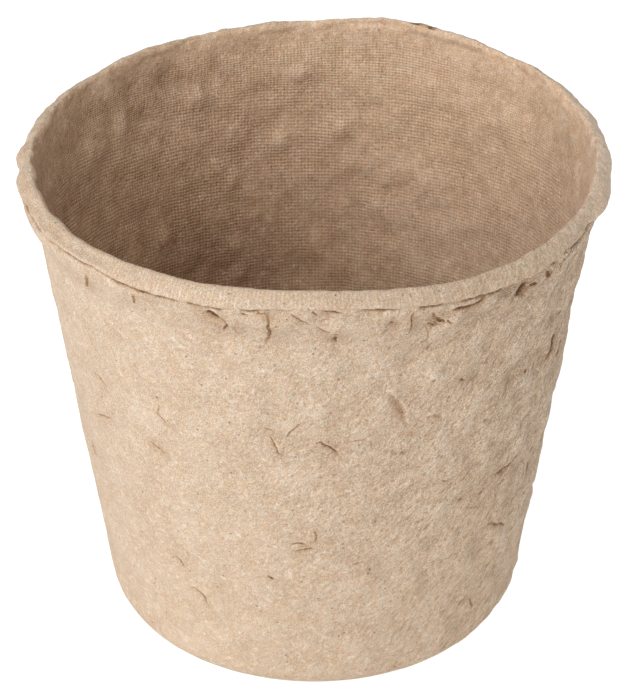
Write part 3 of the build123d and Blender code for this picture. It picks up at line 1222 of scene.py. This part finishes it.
# Fibres: webs, short fibres that another noise breaks up, flecks and round specks.
NOISE_MIDDLE = 0.5
WEB_DETAIL = 1.0
DARK_WEB = Thread(3.2, 0.07, 22.0, 0.27)
PALE_WEB = Thread(2.8, 0.06, 23.0, 0.12)
BROWN_FIBRES = Thread(1.0, 0.06, 6.0, 1.0)
BROWN_ROUGH = Ramp(0.0, 1.5, 0.0, 0.6)
WHITE_FIBRES = Thread(0.8, 0.04, 8.0, 0.4)
BREAK_SCALE = 1.4
BREAK_RAMP = Ramp(0.58, 0.66)
FLECKS = (Pattern(1.7, 1.0, 25.0), Ramp(0.28, 0.34, 0.75, 0.0))
FLECK_ROUGH = Ramp(0.4, 1.4)
DOT_SCALE = 0.5
DOT_RAMP = Ramp(0.057, 0.095, 0.7, 0.0)

# Creases, by the place across them in widths: wander of the line, its low and raised sides, fray and layers.
CREASE_WANDER = (Pattern(2.4, 3.0, 14.0), Ramp(0.25, 0.75, -0.6, 0.6))
# Painted shadow on a crease's low side, and painted highlight on its raised side.
SHADOWED_LOW_SIDE = (Ramp(-3.5, -0.3), Ramp(0.0, 0.8, 1.0, 0.0))
LOW_SIDE_SHADOW = 0.4
HIGHLIGHTED_RAISED_SIDE = (Ramp(0.8, 1.6), Ramp(1.6, 2.8, 1.0, 0.0))
RAISED_HIGHLIGHT_RAMP = Ramp(0.0, 0.8, 0.0, 0.35)
CREASE_FRAY = (Pattern(4.0, 2.0, 11.0), Ramp(0.3, 0.7, 0.5, 1.45))
# Painted shade in a crease's line, from a brown fringe to a dark core, partly darker fibres.
CREASE_SHADE_LAYERS = (
    (Ramp(0.15, 0.55, 0.0, 0.8), FRINGE_SHADE_AND_FLECK),
    (Ramp(0.5, 1.0, 0.0, 0.95), CREASE_SHADE),
    (Ramp(1.3, 2.1, 0.0, 0.75), CREASE_DEEP_SHADE),
)

# Inside and screen: mottle, calmer tufts, patches of screen marks, the columns' share, and dark of the weave.
MOTTLE = Pattern(0.8, 2.0, 27.0)
MOTTLE_LAYERS = ((Ramp(0.3, 0.48, 0.25, 0.0), DARK_FIBRE_AND_SHADE), (Ramp(0.52, 0.7, 0.0, 0.15), PALE_PULP_AND_HIGHLIGHT))
INSIDE_CALM = Ramp(0.0, 1.0, 1.0, 0.3)
SCREEN_PATCHES = (Pattern(0.25, 2.0, 10.0), Ramp(0.35, 0.6, 0.6, 1.0))
WEAVE_COLUMNS = 0.8
WEAVE_RAMP = Ramp(0.25, 0.75, 0.6, 0.0)

# Bumps, in metres, and the sheen of the surface.
FELT = Pattern(3.6, 2.0, 13.0)
TUFT_BUMP = 0.0005
FELT_BUMP = 0.0001
SCREEN_BUMP = 0.00008
PULP_ROUGHNESS = 0.92
PULP_SPECULAR = 0.2


def drawn_out(graph, place, stretch):
    """Place squeezed along the lay of the fibres, so that a pattern made with it is drawn out that way."""
    along = graph.add("ShaderNodeVectorMath", {0: place, 1: FIBRE_LAY}, operation="DOT_PRODUCT")
    less = graph.math("MULTIPLY", along.outputs["Value"], 1 - stretch)
    back = graph.add("ShaderNodeVectorMath", {0: FIBRE_LAY, "Scale": less}, operation="SCALE").outputs[0]
    return graph.add("ShaderNodeVectorMath", {0: place, 1: back}, operation="SUBTRACT").outputs[0]


def screen_weave(graph):
    """Height of the forming screen's marks, 0 to 1."""
    sheet = graph.add("ShaderNodeUVMap", uv_map="Screen").outputs["UV"]
    sides = graph.add("ShaderNodeSeparateXYZ", {0: sheet}).outputs
    turns = 2 * math.pi / SCREEN_PITCH
    columns, rows = (graph.math("SINE", graph.math("MULTIPLY", side, turns)) for side in sides[:2])
    both = graph.math("ADD", graph.math("MULTIPLY", columns, WEAVE_COLUMNS), rows)
    return graph.span(both, Ramp(-1 - WEAVE_COLUMNS, 1 + WEAVE_COLUMNS))


def fibre_web(graph, place, thread):
    """Thin curved lines, where a noise passes its middle."""
    value = graph.noise(place, Pattern(thread.scale, WEB_DETAIL, thread.seed))
    off_middle = graph.math("ABSOLUTE", graph.math("SUBTRACT", value, NOISE_MIDDLE))
    return graph.span(off_middle, Ramp(0.0, thread.thin, thread.strength, 0.0))


def fibres(graph, place, thread):
    """Short thin curved lines: a web broken up by another noise."""
    breaks = graph.noise(place, Pattern(BREAK_SCALE * thread.scale, 0.0, thread.seed + 1.0))
    return graph.product(fibre_web(graph, place, thread), graph.span(breaks, BREAK_RAMP))


def dots(graph, place):
    """Small round specks, far apart."""
    cells = graph.add("ShaderNodeTexVoronoi", {"Vector": place, "Scale": DOT_SCALE})
    return graph.span(cells.outputs["Distance"], DOT_RAMP)


def felted_colour(graph, place, long, tufts, rough, wild):
    """Felt colour: mottled, painted shade between tufts, and where wild painted light and furrow shade."""
    shade = graph.mix(graph.mottle(place, *CLOUDS), PULP_DARK, PULP)
    for pattern, ramp, tone in PATCHES:
        shade = graph.tint(shade, tone, graph.mottle(place, pattern, ramp))
    shade = graph.tint(shade, DARK_FIBRE_AND_SHADE, graph.span(tufts, TUFT_GAP_SHADE), rough)
    shade = graph.tint(shade, PAINTED_LIGHT_PULP, wild, WILD_PAINTED_LIGHT)
    return graph.tint(shade, DARK_FIBRE_AND_SHADE, graph.mottle(long, *FURROW_SHADE), wild)


def shaded_and_stained_colour(graph, place, shade):
    """Colour with painted shade in hollows and painted highlight on bulges, drifts of hue, stains, and
    painted light on the lip's right side.
    """
    shade = graph.layered(shade, graph.mark("relief_shade"), RELIEF_SHADE_LAYERS)
    for pattern, one_hue, other_hue in HUE_DRIFTS:
        hue = graph.mix(graph.mottle(place, pattern, HUE_RAMP), one_hue, other_hue)
        shade = graph.mix(1.0, shade, hue, "MULTIPLY")
    shade = graph.tint(shade, STAIN_AND_SHADOW_BROWN, graph.mark("stain"), graph.mottle(place, *STAIN_PATCHES))
    return graph.tint(shade, LIP_PAINTED_LIGHT, graph.mark("painted_light"))


def fibrous_colour(graph, place, long, shade, rough, wild):
    """Colour with grain, webs of fibre, short fibres, flecks and specks."""
    height = graph.add("ShaderNodeSeparateXYZ", {0: place}).outputs[2]
    crisp = graph.product(graph.span(height, GRAIN_HEIGHTS), graph.span(wild, GRAIN_WILD))
    shade = graph.layered(shade, graph.noise(place, GRAIN), GRAIN_LAYERS, crisp)
    shade = graph.tint(shade, DARK_FIBRE_AND_SHADE, fibre_web(graph, long, DARK_WEB), rough)
    shade = graph.tint(shade, FIBRE_WHITE, fibre_web(graph, long, PALE_WEB))
    shade = graph.tint(shade, FIBRE_BROWN, fibres(graph, long, BROWN_FIBRES), graph.span(rough, BROWN_ROUGH))
    shade = graph.tint(shade, FRINGE_SHADE_AND_FLECK, graph.mottle(long, *FLECKS), graph.span(rough, FLECK_ROUGH))
    shade = graph.tint(shade, FIBRE_WHITE, fibres(graph, place, WHITE_FIBRES))
    return graph.tint(shade, DOT, dots(graph, place))


def creased_colour(graph, place, shade):
    """Colour with the creases and the slit: thin lines of painted shade that wander and fray, with painted
    shadow on their low side and painted highlight on their raised side.
    """
    across = graph.math("ADD", graph.mark("cross"), graph.mottle(place, *CREASE_WANDER))
    line = graph.math("EXPONENT", graph.product(across, across, -1.0))
    strength = graph.mark("crease")
    shade = graph.tint(shade, STAIN_AND_SHADOW_BROWN, strength, graph.band(across, *SHADOWED_LOW_SIDE), LOW_SIDE_SHADOW)
    lit = graph.band(across, *HIGHLIGHTED_RAISED_SIDE)
    shade = graph.tint(shade, PALE_PULP_AND_HIGHLIGHT, graph.span(strength, RAISED_HIGHLIGHT_RAMP), lit)
    lines = graph.math("MAXIMUM", graph.product(strength, line), graph.mark("slit"))
    frayed = graph.product(lines, graph.mottle(place, *CREASE_FRAY))
    return graph.layered(shade, frayed, CREASE_SHADE_LAYERS)


def fibre_material(slot):
    """Moulded paper pulp, felted and matt, with screen marks, brown creases where marked, and painted shade
    and light.
    """
    material = bpy.data.materials.new(slot)
    graph = empty_graph(material)
    metres = graph.add("ShaderNodeTexCoord").outputs["Object"]
    place = graph.add("ShaderNodeVectorMath", {0: metres, "Scale": 1 / MM}, operation="SCALE").outputs[0]
    long = drawn_out(graph, place, FURROW_STRETCH)
    tufts = graph.noise(drawn_out(graph, place, TUFT_STRETCH), TUFTS)
    rough = graph.mark("rough")
    wild = graph.span(rough, WILD)
    inside = graph.mark("inside")
    weave = screen_weave(graph)
    screen = graph.product(graph.mark("screen"), graph.mottle(place, *SCREEN_PATCHES))
    shade = felted_colour(graph, place, long, tufts, rough, wild)
    shade = shaded_and_stained_colour(graph, place, shade)
    shade = fibrous_colour(graph, place, long, shade, rough, wild)
    shade = graph.layered(shade, graph.noise(place, MOTTLE), MOTTLE_LAYERS, inside)
    shade = graph.mix(inside, shade, INSIDE_SHADE, "MULTIPLY")
    woven = graph.product(screen, graph.span(weave, WEAVE_RAMP))
    shade = graph.mix(woven, shade, WEAVE_SHADE, "MULTIPLY")
    shade = creased_colour(graph, place, shade)
    tufted = graph.bump(graph.product(tufts, rough, graph.span(inside, INSIDE_CALM)), TUFT_BUMP)
    felted = graph.bump(graph.noise(place, FELT), FELT_BUMP, Normal=tufted)
    marked = graph.bump(graph.product(weave, screen), SCREEN_BUMP, Normal=felted)
    matt_surface(graph, {
        "Base Color": shade,
        "Roughness": PULP_ROUGHNESS,
        "Specular IOR Level": PULP_SPECULAR,
        "Normal": marked,
    })
    return material


# The stage under the pot: half its width in metres, colour, roughness and glow.
STAGE_HALF = 1.5
STAGE_COLOUR = colour(0.3, 0.3, 0.3)
STAGE_ROUGHNESS = 0.9
STAGE_GLOW = 0.86


def stage_floor():
    """Plain pale floor under the pot."""
    mesh = bpy.data.meshes.new("stage_floor")
    corners = [(STAGE_HALF * x, STAGE_HALF * y, 0) for x, y in ((-1, -1), (1, -1), (1, 1), (-1, 1))]
    mesh.from_pydata(corners, [], [(0, 1, 2, 3)])
    material = bpy.data.materials.new("pale_floor")
    matt_surface(empty_graph(material), {
        "Base Color": STAGE_COLOUR,
        "Roughness": STAGE_ROUGHNESS,
        "Emission Color": WHITE,
        "Emission Strength": STAGE_GLOW,
    })
    mesh.materials.append(material)
    placed("stage_floor", mesh)


# Soft lights: azimuth and elevation in degrees, power in watts, colour. Each is a square that faces the pot.
LIGHTS = (("key", -60, 32, 8.8, (0.97, 1.0, 1.05)), ("front", 0, 40, 5.2, (1.02, 1.0, 0.97)))
LIGHT_DISTANCE = 1.0
LIGHT_SIZE = 1.0

# Strength of the surroundings as light, and as the camera sees them.
WORLD_STRENGTH = 0.43
BACKDROP_STRENGTH = 1.0


def softbox(name, azimuth, elevation, power, hue):
    """One large soft light that faces the pot."""
    lamp = bpy.data.lights.new(name, "AREA")
    lamp.shape = "SQUARE"
    lamp.size = LIGHT_SIZE
    lamp.energy = power
    lamp.color = hue
    light = placed(name, lamp)
    level = math.cos(elevation)
    way = Vector((math.sin(azimuth) * level, -math.cos(azimuth) * level, math.sin(elevation)))
    light.location = way * LIGHT_DISTANCE + Vector(CAMERA_AIM * MM)
    light.rotation_euler = way.to_track_quat("Z", "Y").to_euler()


def studio_light():
    """Even white surroundings and the softboxes."""
    world = bpy.data.worlds.new("studio")
    graph = empty_graph(world)
    seen = graph.add("ShaderNodeLightPath").outputs["Is Camera Ray"]
    strength = graph.span(seen, Ramp(0.0, 1.0, WORLD_STRENGTH, BACKDROP_STRENGTH))
    background = graph.add("ShaderNodeBackground", {"Color": WHITE, "Strength": strength})
    graph.add("ShaderNodeOutputWorld", {"Surface": background.outputs[0]})
    bpy.context.scene.world = world
    for name, azimuth, elevation, power, hue in LIGHTS:
        softbox(name, math.radians(azimuth), math.radians(elevation), power, hue)


def photo_camera():
    """Camera at the photograph's place."""
    lens = bpy.data.cameras.new("photo_camera")
    lens.sensor_width = SENSOR_MM
    lens.lens = SENSOR_MM * FOCAL_PX / PHOTO_HEIGHT
    camera = placed("photo_camera", lens)
    camera.location = Vector(CAMERA_EYE * MM)
    camera.rotation_euler = (math.pi / 2 - CAMERA_ELEVATION, 0.0, 0.0)
    bpy.context.scene.camera = camera


wall_piece()
lip_piece()
floor_piece()
stage_floor()
studio_light()
photo_camera()
bpy.context.scene.view_settings.view_transform = "Standard"
